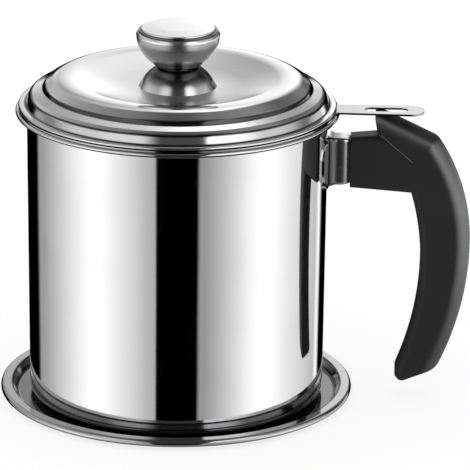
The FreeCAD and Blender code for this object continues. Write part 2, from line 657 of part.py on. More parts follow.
def spine():
    """Larger block with the grip's top and back, whose edges have the rounding of the spine."""
    rear = belly_arcs()[1]
    heel, back = (arc.Vertexes[0].Point for arc in rear)
    climb = (nose_top()[1] - back).normalize()
    above = back - climb * (back.x / climb.x)
    below = heel - rear[0].tangentAt(rear[0].FirstParameter) * BLOCK_OVERRUN
    outline = rear + path([back, above, at(0, below.z), below, heel])
    block = side_view(outline, GRIP_THICKNESS)
    block = block.makeFillet(BACK_ROUND, crosswise_at(block, back))
    edges = edges_where(block, lambda middle, along: abs(along.y) < NEAR and middle.x > NEAR
                        and middle.z > below.z + NEAR)
    return block.makeFillet(GRIP_SPINE_ROUND, edges)


def palm():
    """Larger block with the grip's front, whose edges are rounded for the fingers below the arm."""
    front = belly_arcs()[0]
    corner, tip = (arc.Vertexes[0].Point for arc in front)
    corner_run, tip_run = (arc.tangentAt(arc.FirstParameter) for arc in front)
    above = corner - corner_run * BLOCK_OVERRUN
    below = tip - tip_run * BLOCK_OVERRUN
    behind = POT_RADIUS + OUTER_REACH + BLOCK_OVERRUN
    outline = front + path([corner, above, at(behind, above.z), at(behind, below.z), below, tip])
    block = side_view(outline, GRIP_THICKNESS)
    edges = edges_where(block, lambda middle, along: middle.x < behind - NEAR
                        and abs(along.z) > abs(along.x))
    block = block.makeFillet(GRIP_PALM_ROUND, edges)
    upper = side_view(path([at(0, corner.z), at(behind, corner.z), at(behind, LIP_Z), at(0, LIP_Z), at(0, corner.z)]),
                      GRIP_THICKNESS)
    return block.fuse(upper)


def arm():
    """Bar between ferrule and hook, slightly thinner than the hook towards the pot."""
    start = POT_RADIUS + GRIP_START
    full = POT_RADIUS + ARM_FULL_REACH
    root, crease_end = (point + at(ARM_OVERRUN, 0) for point in crease())
    end = crease_end.x
    foot_slope = (ARM_FOOT_DROP + ARM_STAND_OUT) / (INNER_CORNER_REACH - GRIP_START)
    corners = [at(start, ARM_FOOT_Z), at(end, ARM_FOOT_Z - foot_slope * (end - start)),
               crease_end, root, at(start, ARM_TOP_Z)]
    solid = side_view(path(corners + corners[:1]), 2 * GRIP_THICKNESS)
    half = GRIP_THICKNESS / 2
    plan = [FreeCAD.Vector(x, y, 0) for x, y in
            ((start, half - ARM_TAPER), (full, half), (end, half),
             (end, -half), (full, -half), (start, ARM_TAPER - half))]
    taper = Part.Face(Part.makePolygon(plan + plan[:1])).extrude(FreeCAD.Vector(0, 0, 2 * LIP_Z))
    solid = solid.common(taper)
    solid = solid.makeFillet(ARM_TOP_ROUND, edges_where(solid, lambda middle, along: abs(along.x) > abs(along.y)
                                                        and middle.z > ARM_TOP_Z - NEAR))
    return solid.makeFillet(GRIP_EDGE_ROUND, edges_where(solid, lambda middle, along: abs(along.x) > abs(along.y)
                                                         and middle.z < ARM_FOOT_Z + NEAR))


def stub():
    """Part of the grip that fills the ferrule."""
    side = 2 * (FERRULE_SHEET + POCKET_CLEARANCE)
    return rounded_bar(POT_RADIUS + GRIP_START - STUB_LENGTH, POT_RADIUS + GRIP_START + STUB_LENGTH,
                       FERRULE_WIDTH - side, FERRULE_HEIGHT - side, FERRULE_CORNER - FERRULE_SHEET, ARM_Z)


def grip_hollows():
    """Slot for the tongue, and counterbore and hole for the screw."""
    x = POT_RADIUS + HANDLE_SCREW_REACH
    shoulder = ARM_Z - TONGUE_HEIGHT / 2 - HANDLE_SCREW_HOLD
    bottom = shoulder - FERRULE_HEIGHT
    slot = rounded_bar(POT_RADIUS, POT_RADIUS + TONGUE_REACH + POCKET_CLEARANCE,
                       TONGUE_WIDTH + 2 * POCKET_CLEARANCE, TONGUE_HEIGHT + 2 * POCKET_CLEARANCE, 0, ARM_Z)
    counterbore = upright_cylinder(COUNTERBORE_RADIUS, shoulder - bottom, bottom, x)
    hole = upright_cylinder(SCREW_RADIUS + SCREW_CLEARANCE, ARM_Z - bottom, bottom, x)
    return slot.fuse([counterbore, hole])


def handle_grip():
    """Moulded grip: arm, nose and belly, with a rounded spine and rounded edges for the fingers."""
    body = hook().common(spine()).common(palm())
    body = body.fuse([arm(), stub()]).cut(grip_hollows())
    return upright(body.removeSplitter())


def handle_screw():
    head_z = ARM_Z - TONGUE_HEIGHT / 2 - HANDLE_SCREW_HOLD - SCREW_HEAD_HEIGHT
    return screw_up(POT_RADIUS + HANDLE_SCREW_REACH, head_z, ARM_Z + TONGUE_HEIGHT / 2)


PIECES = {
    "drip_tray": drip_tray,
    "pot_body": pot_body,
    "handle_base_plate": handle_base_plate,
    "handle_ferrule": handle_ferrule,
    "handle_tongue": handle_tongue,
    "handle_grip": handle_grip,
    "handle_screw": handle_screw,
    "strainer_frame": strainer_frame,
    "strainer_mesh": strainer_mesh,
    "strainer_clamp_ring": strainer_clamp_ring,
    "lid_shell": lid_shell,
    "knob_skirt": knob_skirt,
    "knob_spacer": knob_spacer,
    "knob_bowl": knob_bowl,
    "knob_cap": knob_cap,
    "knob_nut": knob_nut,
    "knob_washer": knob_washer,
    "knob_screw": knob_screw,
}

os.makedirs("parts", exist_ok=True)
for name, make in PIECES.items():
    shape = make()
    print(name, shape.ShapeType, shape.isValid(), round(shape.Volume, 1))
    shape.exportStep(f"parts/{name}.step")
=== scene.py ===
"""Looks of a bacon grease container: polished steel pot, saucer tray, strainer, lid and black grip.

Metres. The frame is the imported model: +Z is up, the handle points along +X.
Sections of turned pieces are given in millimetres as (radius, height, rounding).
"""
import json
import math

import bpy
from mathutils import Matrix, Vector


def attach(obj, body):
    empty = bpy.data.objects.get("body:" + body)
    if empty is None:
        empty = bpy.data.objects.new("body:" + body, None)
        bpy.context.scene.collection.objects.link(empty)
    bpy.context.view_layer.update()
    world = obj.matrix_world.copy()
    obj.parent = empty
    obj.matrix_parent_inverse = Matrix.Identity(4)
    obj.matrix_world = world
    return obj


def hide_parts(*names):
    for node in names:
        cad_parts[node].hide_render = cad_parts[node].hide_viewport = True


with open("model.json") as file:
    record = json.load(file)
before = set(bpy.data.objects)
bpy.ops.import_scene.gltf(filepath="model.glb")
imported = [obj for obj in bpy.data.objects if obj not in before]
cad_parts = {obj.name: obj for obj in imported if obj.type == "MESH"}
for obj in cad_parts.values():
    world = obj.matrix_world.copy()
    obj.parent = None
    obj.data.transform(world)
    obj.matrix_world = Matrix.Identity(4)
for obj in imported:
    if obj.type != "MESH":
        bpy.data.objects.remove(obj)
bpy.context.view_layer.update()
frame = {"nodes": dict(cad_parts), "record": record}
scene = bpy.context.scene

MM = 0.001
TOUCHING = 1e-6                     # points nearer than this, in metres, are one point

# ---- camera ------------------------------------------------------------------------------------
AIM = Vector((0, 0, 0.06))          # point on the pot's axis
AIM_PIXEL = (177.0, 249.0)          # where that point lies in the 470 x 470 frame
FRAME_PIXELS = 470
CAMERA_DISTANCE = 1.7
CAMERA_AZIMUTH = math.radians(3)
CAMERA_ELEVATION = math.radians(18.29)
CAMERA_ROLL = math.radians(0.32)
SENSOR = 36.0
FOCAL_PIXELS = 4227.0

# ---- turned pieces, millimetres ----------------------------------------------------------------
TURN_STEPS = 256
FORM_STEPS = 128                    # for the form that the mesh is laid on
TRAY_SHEET = 0.8
POT_SHEET = 0.5
LID_SHEET = 0.5
KNOB_SHEET = 0.6
RING_SHEET = 0.8
FACET_DEGREES = 4.0                 # largest turn from one facet of a rounded corner to the next
FACET_LENGTH = 1.2                  # longest facet of a rounded corner
FEWEST_FACETS = 3

# ---- strainer, millimetres ---------------------------------------------------------------------
RIM_TOP = 120.1
STRAINER_SHEET = 0.8
TAB_START = 61.5                    # inside the rim
TAB_TIP = 98.0
TAB_ROOT = 11.5
TAB_WIDTH = 13.5
TAB_CORNER = 5.5
SLOT_START = 74.5
SLOT_END = 91.5
SLOT_WIDTH = 5.0
TAB_EDGE = 0.18                     # rounding of the stamped edges
MESH_RADIUS = 56.4
WIRE_PITCH = 1.3
WIRE_RADIUS = 0.17
WEAVE_LIFT = 0.95                   # how far a wire rises or dips at a crossing, in wire radii

# ---- grip, millimetres -------------------------------------------------------------------------
GRIP_THICKNESS = 15.0
CREASE_ENDS = ((81.0, 111.4), (93.8, 100.4))
BEAD_RADIUS = 0.32
GRIP_EDGE = 0.35                    # rounding added to the moulding's edges

# ---- steel and resin ---------------------------------------------------------------------------
MARKS_PER_METRE = 2600.0            # fineness of the turning marks
SMUDGE_SCALE = 38.0
SWAY_SCALE = 16.0                   # slow unevenness of the sheet
# painted shade: a dark grey laid into the steel's colour in creases, gaps and hollows where shade falls,
# and how much of it covers
PAINTED_SHADE_GREY = (0.03, 0.03, 0.03, 1)
PAINTED_SHADE_COVER = 0.92
PAINTED_SHADE_CORE = 0.35                    # share of a band's reach that takes the full painted shade
SATIN_ROUGHER = 0.22
SATIN_CORE = 0.45                   # share of the dull middle's radius that is fully dull
ROLLED_GRAIN_SCALE = 900.0
BLOTCH_SCALE = 60.0
# painted shade: the grey at the dark end of a satin steel's shaded span
PAINTED_DARK_END_GREY = (0.11, 0.11, 0.11, 1)
MOULD_GRAIN_SCALE = 1100.0
PATCH_SCALE = 45.0


# ---- helpers -----------------------------------------------------------------------------------
def clear_selection():
    """Leaves object mode with nothing selected."""
    if bpy.context.object and bpy.context.object.mode != "OBJECT":
        bpy.ops.object.mode_set(mode="OBJECT")
    bpy.ops.object.select_all(action="DESELECT")


def choose(obj):
    """Selects obj alone and makes it active."""
    clear_selection()
    obj.select_set(True)
    bpy.context.view_layer.objects.active = obj


def edit(obj):
    """Opens obj alone in edit mode."""
    choose(obj)
    bpy.ops.object.mode_set(mode="EDIT")


def pick(obj, kind, test):
    """Selects the vertices or edges of the edited mesh that pass the test."""
    bpy.ops.mesh.select_mode(type=kind)
    bpy.ops.mesh.select_all(action="DESELECT")
    bpy.ops.object.mode_set(mode="OBJECT")
    parts = {"VERT": obj.data.vertices, "EDGE": obj.data.edges}[kind]
    for part in parts:
        if test(part):
            part.select = True
    bpy.ops.object.mode_set(mode="EDIT")


def lies_at(*places):
    """A test that is true for a vertex at one of these places."""
    return lambda vertex: min((vertex.co - place).length for place in places) < TOUCHING


def finish_with(obj, kind, **settings):
    """Adds a modifier with these settings and applies it."""
    choose(obj)
    modifier = obj.modifiers.new(kind.title(), kind)
    for key, value in settings.items():
        setattr(modifier, key, value)
    bpy.ops.object.modifier_apply(modifier=modifier.name)


def smooth(obj, angle=35):
    """Smooth shading that keeps sharp corners and flat faces flat."""
    choose(obj)
    bpy.ops.object.shade_smooth_by_angle(angle=math.radians(angle))
    finish_with(obj, "WEIGHTED_NORMAL", keep_sharp=True, weight=80)


def settle(obj, name, body, slot, material, *nodes):
    """Names a finished piece, gives it its finish and its body, and hides the nodes it stands for."""
    clear_selection()
    obj.name = name
    obj.data.name = name
    obj.data.materials.clear()
    obj.data.materials.append(material)
    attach(obj, body)
    if nodes:
        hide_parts(*nodes)


# ---- lines and turned sheet metal --------------------------------------------------------------
def draw_line(points, roundings):
    """An open line through these points, in millimetres, with its inner corners rounded."""
    clear_selection()
    bpy.ops.mesh.primitive_plane_add(size=1 * MM, location=points[0] * MM)
    obj = bpy.context.object
    bpy.ops.object.transform_apply(location=True)
    bpy.ops.object.mode_set(mode="EDIT")
    bpy.ops.mesh.select_mode(type="VERT")
    bpy.ops.mesh.merge(type="CENTER")
    for before, after in zip(points, points[1:]):
        bpy.ops.mesh.extrude_vertices_move(TRANSFORM_OT_translate={"value": (after - before) * MM})
    for index in range(1, len(points) - 1):
        if roundings[index] > 0:
            round_corner(obj, points, index, roundings[index])
    return obj


def round_corner(obj, points, index, rounding):
    """Bevels one corner of a line to an arc of this radius."""
    here = points[index]
    back = (points[index - 1] - here).normalized()
    ahead = (points[index + 1] - here).normalized()
    half = back.angle(ahead) / 2
    turn = math.pi - 2 * half
    steps = max(FEWEST_FACETS, math.ceil(math.degrees(turn) / FACET_DEGREES),
                math.ceil(turn * rounding / FACET_LENGTH))
    setback = rounding / math.tan(half) * MM
    pick(obj, "VERT", lies_at(here * MM))
    bpy.ops.mesh.bevel(affect="VERTICES", offset=setback, segments=steps, profile=0.5)


def draw_section(corners):
    """A section line in the XZ plane through (radius, height, rounding) corners."""
    points = [Vector((x, 0, z)) for x, z, _ in corners]
    return draw_line(points, [rounding for _, _, rounding in corners])


def join(first, *others):
    """Makes one object of several."""
    clear_selection()
    for obj in (first, *others):
        obj.select_set(True)
    bpy.context.view_layer.objects.active = first
    bpy.ops.object.join()
    return first


def turn_section(corners, steps):
    """A skin turned about the Z axis, open in edit mode with all of it selected."""
    obj = draw_section(corners)
    bpy.ops.mesh.select_all(action="SELECT")
    bpy.ops.mesh.spin(steps=steps, angle=2 * math.pi, center=(0, 0, 0), axis=(0, 0, 1))
    bpy.ops.mesh.select_all(action="SELECT")
    bpy.ops.mesh.remove_doubles(threshold=TOUCHING)
    return obj


def turned_sheet(corners, wall):
    """Turned sheet metal: the wall grows to the left of the section line, or right if it is negative."""
    obj = turn_section(corners, TURN_STEPS)
    bpy.ops.mesh.normals_make_consistent(inside=False)
    bpy.ops.object.mode_set(mode="OBJECT")
    finish_with(obj, "SOLIDIFY", thickness=abs(wall) * MM, offset=wall_side(obj, corners, wall),
                use_even_offset=True)
    smooth(obj)
    return obj


def wall_side(obj, corners, wall):
    """1 when the wall grows along the faces' normals, or -1 when it grows against them."""
    start, end = Vector(corners[0][:2]), Vector(corners[1][:2])
    along = (end - start).normalized()
    left = Vector((-along.y, along.x))
    middle = (start + end) / 2 * MM
    face = min(obj.data.polygons,
               key=lambda f: abs(f.center.xy.length - middle.x) + abs(f.center.z - middle.y))
    outward = Vector((face.normal.xy.dot(face.center.xy.normalized()), face.normal.z))
    return math.copysign(1, outward.dot(left) * wall)


# ---- shader maths ------------------------------------------------------------------------------
class Graph:
    """A material's or world's node tree, built by expressions."""

    def __init__(self, owner):
        owner.use_nodes = True
        self.tree = owner.node_tree
        self.tree.nodes.clear()

    def node(self, kind, settings=None, **sockets):
        """A node with its settings, and values or links for its sockets by name or as i0, i1, ..."""
        made = self.tree.nodes.new(kind)
        for key, value in (settings or {}).items():
            if key == "stops":
                self.set_stops(made.color_ramp, value)
            else:
                setattr(made, key, value)
        for key, value in sockets.items():
            numbered = key[0] == "i" and key[1:].isdigit()
            socket = made.inputs[int(key[1:]) if numbered else key.replace("_", " ")]
            if isinstance(value, Wire):
                value = value.socket
            if isinstance(value, bpy.types.NodeSocket):
                self.tree.links.new(value, socket)
            else:
                socket.default_value = value
        return made

    @staticmethod
    def set_stops(ramp, stops):
        """Fills a colour ramp with (place, grey level) stops."""
        while len(ramp.elements) < len(stops):
            ramp.elements.new(0.5)
        for element, (place, value) in zip(ramp.elements, stops):
            element.position = place
            element.color = (value, value, value, 1)

    def wire(self, kind, output=0, settings=None, **sockets):
        """One output of a new node."""
        return Wire(self, self.node(kind, settings, **sockets).outputs[output])

    def maths(self, operation, *values):
        """A Math node."""
        sockets = {f"i{index}": value for index, value in enumerate(values)}
        return self.wire("ShaderNodeMath", settings={"operation": operation}, **sockets)

    def ramp(self, value, stops):
        """A brightness that runs straight from one (place, level) stop to the next."""
        made = self.node("ShaderNodeValToRGB", {"stops": stops}, Fac=value)
        made.color_ramp.interpolation = "LINEAR"
        return Wire(self, made.outputs[0])

    def between(self, value, low, high):
        """0 below low, 1 above high, smooth between them."""
        return self.wire("ShaderNodeMapRange", settings={"interpolation_type": "SMOOTHSTEP"},
                         Value=value, From_Min=low, From_Max=high)

    def mix(self, amount, first, second):
        """Colour mix."""
        return self.wire("ShaderNodeMix", 2, {"data_type": "RGBA"}, i0=amount, i6=first, i7=second)


class Wire:
    """A socket that takes part in expressions."""

    def __init__(self, graph, socket):
        self.graph = graph
        self.socket = socket

    def __add__(self, other): return self.graph.maths("ADD", self, other)
    def __radd__(self, other): return self.graph.maths("ADD", other, self)
    def __sub__(self, other): return self.graph.maths("SUBTRACT", self, other)
    def __rsub__(self, other): return self.graph.maths("SUBTRACT", other, self)
    def __mul__(self, other): return self.graph.maths("MULTIPLY", self, other)
    def __rmul__(self, other): return self.graph.maths("MULTIPLY", other, self)
    def __truediv__(self, other): return self.graph.maths("DIVIDE", self, other)
    def __rtruediv__(self, other): return self.graph.maths("DIVIDE", other, self)
    def __neg__(self): return self.graph.maths("MULTIPLY", self, -1.0)


# ---- materials ---------------------------------------------------------------------------------
def polished_steel(name, tone=0.68, roughness=0.04, satin_within=None, painted_shade_bands=()):
    """Mirror-polished stainless steel with faint marks of turning round the Z axis.

    satin_within is the radius of a dull middle. Each band in the last argument gets painted shade, dark
    where shade falls in creases and gaps: ("r" or "z", where, reach).
    """
    material = bpy.data.materials.new(name)
    g = Graph(material)
    place = g.wire("ShaderNodeTexCoord", 3)
    parts = g.node("ShaderNodeSeparateXYZ", Vector=place)
    x, y, z = (Wire(g, socket) for socket in parts.outputs)
    radius = g.maths("SQRT", x * x + y * y)
    angle = g.maths("ARCTAN2", y, x)
    turned = g.node("ShaderNodeCombineXYZ", X=radius * MARKS_PER_METRE, Y=angle * 1.5,
                    Z=z * MARKS_PER_METRE)
    marks = g.wire("ShaderNodeTexNoise", 0, Vector=turned.outputs[0], Scale=1.0, Detail=3.0, Roughness=0.6)
    smudge = g.wire("ShaderNodeTexNoise", 0, Vector=place, Scale=SMUDGE_SCALE, Detail=4.0, Roughness=0.55)
    sway = g.wire("ShaderNodeTexNoise", 0, Vector=place, Scale=SWAY_SCALE, Detail=1.0)
    clean = (tone, tone, tone * 1.008, 1)
    fingered = (tone * 0.965, tone * 0.965, tone * 0.975, 1)
    shade = g.mix(g.between(smudge, 0.35, 0.75), clean, fingered)
    rough = roughness + (marks - 0.5) * 0.03 + g.between(smudge, 0.45, 0.8) * 0.03
    # painted shade: the colour darkens in bands at creases and gaps, where shade falls
    crease = 0.0
    for way, middle, reach in painted_shade_bands:
        away = g.maths("ABSOLUTE", (radius if way == "r" else z) - middle * MM)
        crease = g.maths("MAXIMUM", 1.0 - g.between(away, PAINTED_SHADE_CORE * reach * MM, reach * MM), crease)
    if painted_shade_bands:
        shade = g.mix(crease * PAINTED_SHADE_COVER, shade, PAINTED_SHADE_GREY)
    if satin_within:
        edge = satin_within * MM
        rough = rough + SATIN_ROUGHER * (1.0 - g.between(radius, SATIN_CORE * edge, edge))
    coarse = g.node("ShaderNodeBump", Strength=0.06, Distance=0.002, Height=sway)
    fine = g.node("ShaderNodeBump", Strength=0.03, Distance=0.0001, Height=marks,
                  Normal=coarse.outputs[0])
    shader = g.node("ShaderNodeBsdfPrincipled", Base_Color=shade, Metallic=1.0, Roughness=rough,
                    Normal=fine.outputs[0])
    g.node("ShaderNodeOutputMaterial", Surface=shader.outputs[0])
    return material


def satin_steel(name, tone=0.62, roughness=0.3, painted_dark_span=None):
    """Plain rolled steel with a fine grain; an optional pair of X places gives where a painted shade runs
    from dark to plain.
    """
    material = bpy.data.materials.new(name)
    g = Graph(material)
    place = g.wire("ShaderNodeTexCoord", 3)
    grain = g.wire("ShaderNodeTexNoise", 0, Vector=place, Scale=ROLLED_GRAIN_SCALE, Detail=4.0)
    blotch = g.wire("ShaderNodeTexNoise", 0, Vector=place, Scale=BLOTCH_SCALE, Detail=3.0)
    shade = g.mix(blotch, (tone, tone, tone * 1.01, 1), (tone * 0.88, tone * 0.88, tone * 0.9, 1))
    rough = roughness + (blotch - 0.5) * 0.12
    # painted shade: darker at low X, plain past the span
    if painted_dark_span:
        along = Wire(g, g.node("ShaderNodeSeparateXYZ", Vector=place).outputs[0])
        shade = g.mix(1.0 - g.between(along, painted_dark_span[0] * MM, painted_dark_span[1] * MM), shade, PAINTED_DARK_END_GREY)
    bump = g.node("ShaderNodeBump", Strength=0.12, Distance=0.0001, Height=grain)
    shader = g.node("ShaderNodeBsdfPrincipled", Base_Color=shade, Metallic=1.0, Roughness=rough,
                    Normal=bump.outputs[0])
    g.node("ShaderNodeOutputMaterial", Surface=shader.outputs[0])
    return material


def black_phenolic(name):
    """Moulded black phenolic resin: fine grain, dull sides, and a spine that hands have polished."""
    material = bpy.data.materials.new(name)
    g = Graph(material)
    coordinates = g.node("ShaderNodeTexCoord")
    place = Wire(g, coordinates.outputs[3])
    normal = g.node("ShaderNodeSeparateXYZ", Vector=coordinates.outputs[1])
    facing, rising = Wire(g, normal.outputs[0]), Wire(g, normal.outputs[2])
    height = Wire(g, g.node("ShaderNodeSeparateXYZ", Vector=place).outputs[2])
    grain = g.wire("ShaderNodeTexNoise", 0, Vector=place, Scale=MOULD_GRAIN_SCALE, Detail=2.0)
    patch = g.wire("ShaderNodeTexNoise", 0, Vector=place, Scale=PATCH_SCALE, Detail=4.0)
    not_on_top = 1.0 - 0.95 * g.between(rising, 0.45, 0.75)
    more_above = 0.25 + 0.75 * g.between(height, 0.015, 0.085)
    rubbed = not_on_top * g.between(facing, -0.02, 0.40) * more_above
    shade = g.mix(patch, (0.0135, 0.0135, 0.014, 1), (0.019, 0.019, 0.02, 1))
    rough = 0.50 + (patch - 0.5) * 0.12 + (grain - 0.5) * 0.05
    polish = rubbed * (0.92 + 0.4 * (patch - 0.5))
    bump = g.node("ShaderNodeBump", Strength=0.03, Distance=0.0001, Height=grain)
    shader = g.node("ShaderNodeBsdfPrincipled", Base_Color=shade, Roughness=rough, Normal=bump.outputs[0],
                    Specular_IOR_Level=0.26, Coat_Weight=polish, Coat_Roughness=0.34, Coat_IOR=2.1)
    g.node("ShaderNodeOutputMaterial", Surface=shader.outputs[0])
    return material


# ---- turned pieces -----------------------------------------------------------------------------
def make_tray(steel):
    piece = turned_sheet([
        (0, 0.8, 0), (64.2, 0.8, 1.2), (66.4, 4.2, 1.0), (71.0, 4.2, 1.4), (71.0, 1.4, 1.4),
        (68.2, 1.4, 1.4), (68.2, 2.8, 0),
    ], -TRAY_SHEET)
    settle(piece, "tray_saucer", "tray", "polished_steel", steel, "drip_tray")


def make_pot(steel):
    piece = turned_sheet([
        (0, 1.6, 0), (45.4, 1.6, 1.5), (47.0, 0.8, 1.5), (59.2, 0.8, 4.0), (60.0, 118.8, 1.0),
        (64.0, 118.8, 0.4), (64.0, 118.0, 0.4), (63.2, 118.0, 0.4), (63.2, 118.4, 0),
    ], POT_SHEET)
    settle(piece, "pot_drawn_body", "pot", "polished_steel", steel, "pot_body")


def make_lid(steel):
    piece = turned_sheet([
        (2.2, 128.3, 0), (21.0, 128.3, 60.0), (43.55, 132.4, 26.0), (48.55, 131.9, 7.0),
        (53.05, 129.3, 2.6), (53.75, 127.5, 0.6), (58.85, 125.8, 3.6), (60.45, 121.5, 0.6),
        (63.3, 121.5, 0.7), (63.3, RIM_TOP, 0.7), (61.9, RIM_TOP, 0),
    ], -LID_SHEET)
    settle(piece, "lid_dome", "lid", "polished_steel", steel, "lid_shell")


def make_skirt(steel):
    piece = turned_sheet([
        (15.5, 128.3, 0), (12.95, 132.86, 12.0), (8.6, 136.3, 1.2), (2.2, 136.3, 0),
    ], KNOB_SHEET)
    settle(piece, "knob_bell", "lid", "polished_steel", steel, "knob_skirt")


def make_bowl(steel):
    piece = turned_sheet([
        (2.2, 136.9, 0), (9.0, 136.9, 1.3), (15.6, 142.615, 12.0), (16.7, 149.6, 1.2),
        (16.0, 150.8, 0.8), (14.0, 150.8, 0),
    ], KNOB_SHEET)
    settle(piece, "knob_cup", "lid", "polished_steel", steel, "knob_bowl")


def make_cap(steel):
    piece = turned_sheet([
        (0, 152.4, 0), (7.375, 152.4, 40.0), (14.75, 152.1, 0.4), (14.75, 151.4, 0.2), (15.6, 151.4, 0),
    ], -KNOB_SHEET)
    settle(piece, "knob_disc", "lid", "polished_steel", steel, "knob_cap")


def make_clamp_ring(steel):
    piece = turned_sheet([(53.915, 107.8, 0), (57.415, 107.8, 0.9), (57.415, 111.8, 0)], RING_SHEET)
    settle(piece, "strainer_angle_ring", "strainer", "satin_steel", steel, "strainer_clamp_ring")


# ---- strainer ----------------------------------------------------------------------------------
def draw_outline(corners, height):
    """A closed line through (x, y, rounding) corners at this height."""
    points = [Vector((x, y, height)) for x, y, _ in corners]
    obj = draw_line(points, [rounding for _, _, rounding in corners])
    pick(obj, "VERT", lies_at(points[0] * MM, points[-1] * MM))
    bpy.ops.mesh.edge_face_add()
    bpy.ops.object.mode_set(mode="OBJECT")
    return obj


def make_tab():
    """Flat tab with a round-ended slot, from inside the rim to its tip."""
    underside = RIM_TOP - STRAINER_SHEET
    rim = draw_outline([
        (TAB_START, 0, 0), (TAB_START, -TAB_ROOT / 2, 0), (TAB_TIP, -TAB_WIDTH / 2, TAB_CORNER),
        (TAB_TIP, TAB_WIDTH / 2, TAB_CORNER), (TAB_START, TAB_ROOT / 2, 0),
    ], underside)
    half = SLOT_WIDTH / 2
    nearly_round = half * 0.99
    middle = (SLOT_START + SLOT_END) / 2
    slot = draw_outline([
        (middle, -half, 0), (SLOT_END, -half, nearly_round), (SLOT_END, half, nearly_round),
        (SLOT_START, half, nearly_round), (SLOT_START, -half, nearly_round), (middle - 1, -half, 0),
    ], underside)
    tab = join(rim, slot)
    edit(tab)
    bpy.ops.mesh.select_all(action="SELECT")
    bpy.ops.mesh.fill(use_beauty=True)
    bpy.ops.mesh.select_all(action="SELECT")
    bpy.ops.mesh.dissolve_limited(angle_limit=math.radians(0.1), use_dissolve_boundaries=False)
    bpy.ops.mesh.select_all(action="SELECT")
    bpy.ops.mesh.normals_make_consistent(inside=False)
    bpy.ops.object.mode_set(mode="OBJECT")
    facing = math.copysign(1, tab.data.polygons[0].normal.z)
    finish_with(tab, "SOLIDIFY", thickness=STRAINER_SHEET * MM, offset=facing)
    finish_with(tab, "BEVEL", width=TAB_EDGE * MM, segments=2, limit_method="ANGLE",
                angle_limit=math.radians(60))
    return tab


def make_strainer_frame(steel):
    """Turned rim and wall, with the tab grown into the rim."""
    frame_ring = turned_sheet([
        (63.6, RIM_TOP, 0), (59.315, RIM_TOP, 0.3), (59.315, 122.4, 0.9), (57.515, 122.4, 0.9),
        (57.515, 107.1, 0.5), (53.915, 107.1, 0),
    ], STRAINER_SHEET)
    tab = make_tab()
    finish_with(frame_ring, "BOOLEAN", operation="UNION", solver="EXACT", object=tab)
    bpy.data.objects.remove(tab)
    smooth(frame_ring)
    settle(frame_ring, "strainer_rim_and_tab", "strainer", "polished_steel", steel, "strainer_frame")


def thicken(line, radius, resolution):
    """Makes the edges of a mesh round wires."""
    choose(line)
    bpy.ops.object.convert(target="CURVE")
    curve = bpy.context.object.data
    curve.bevel_depth = radius * MM
    curve.bevel_resolution = resolution
    curve.use_fill_caps = True
    bpy.ops.object.convert(target="MESH")
    return bpy.context.object


def wire_set(form, along):
    """Parallel wires laid on the form, each passing over and under the wires of the other set."""
    clear_selection()
    count = 2 * round(MESH_RADIUS / WIRE_PITCH)
    bpy.ops.mesh.primitive_grid_add(x_subdivisions=count, y_subdivisions=count,
                                    size=count * WIRE_PITCH * MM, location=(0, 0, 0.2))
    wires = bpy.context.object
    bpy.ops.object.transform_apply(location=True)
    edit(wires)
    pick(wires, "VERT", lambda vertex: vertex.co.xy.length > MESH_RADIUS * MM)
    bpy.ops.mesh.delete(type="VERT")
    bpy.ops.object.mode_set(mode="OBJECT")
    finish_with(wires, "SHRINKWRAP", target=form, wrap_method="PROJECT", use_project_z=True,
                use_negative_direction=True, use_positive_direction=False)
    edit(wires)
    across = 1 - along
    points = wires.data.vertices
    pick(wires, "EDGE", lambda edge: abs(
        points[edge.vertices[0]].co[across] - points[edge.vertices[1]].co[across]) > TOUCHING)
    bpy.ops.mesh.delete(type="EDGE_FACE")
    step = WIRE_PITCH * MM
    lift = WIRE_RADIUS * MM * WEAVE_LIFT
    for side in (0, 1):
        pick(wires, "VERT", lambda vertex: (
            round(vertex.co.x / step) + round(vertex.co.y / step)) % 2 == side)
        bpy.ops.transform.translate(value=(0, 0, lift if side == along else -lift))
    bpy.ops.object.mode_set(mode="OBJECT")
    return thicken(wires, WIRE_RADIUS, 0)


def make_basket(wire_steel):
    """Bowl of woven wire, its edge held between the frame and the clamp ring."""
    form = turn_section([(56.8, 107.45, 0), (53.0, 107.45, 1.2), (41.3, 86.45, 26.0), (0, 86.45, 0)],
                        FORM_STEPS)
    bpy.ops.object.mode_set(mode="OBJECT")
    basket = join(wire_set(form, 0), wire_set(form, 1))
    bpy.data.objects.remove(form)
    smooth(basket, 80)
    settle(basket, "strainer_woven_bowl", "strainer", "steel_mesh", wire_steel, "strainer_mesh")


# ---- ferrule -----------------------------------------------------------------------------------
FERRULE_RINGS = (                   # place along X, half width, half height
    (60.7, 6.0, 10.2), (61.6, 5.9, 10.1), (62.5, 5.3, 9.75), (63.1, 4.85, 9.7), (64.5, 4.8, 9.7),
    (65.6, 4.8, 9.7), (66.5, 4.72, 9.66), (67.4, 4.52, 9.5), (68.3, 4.2, 9.25), (69.0, 3.85, 8.95),
)
FERRULE_MIDDLE = 99.3
FERRULE_CORNER = 1.6
FERRULE_SHEET = 0.35


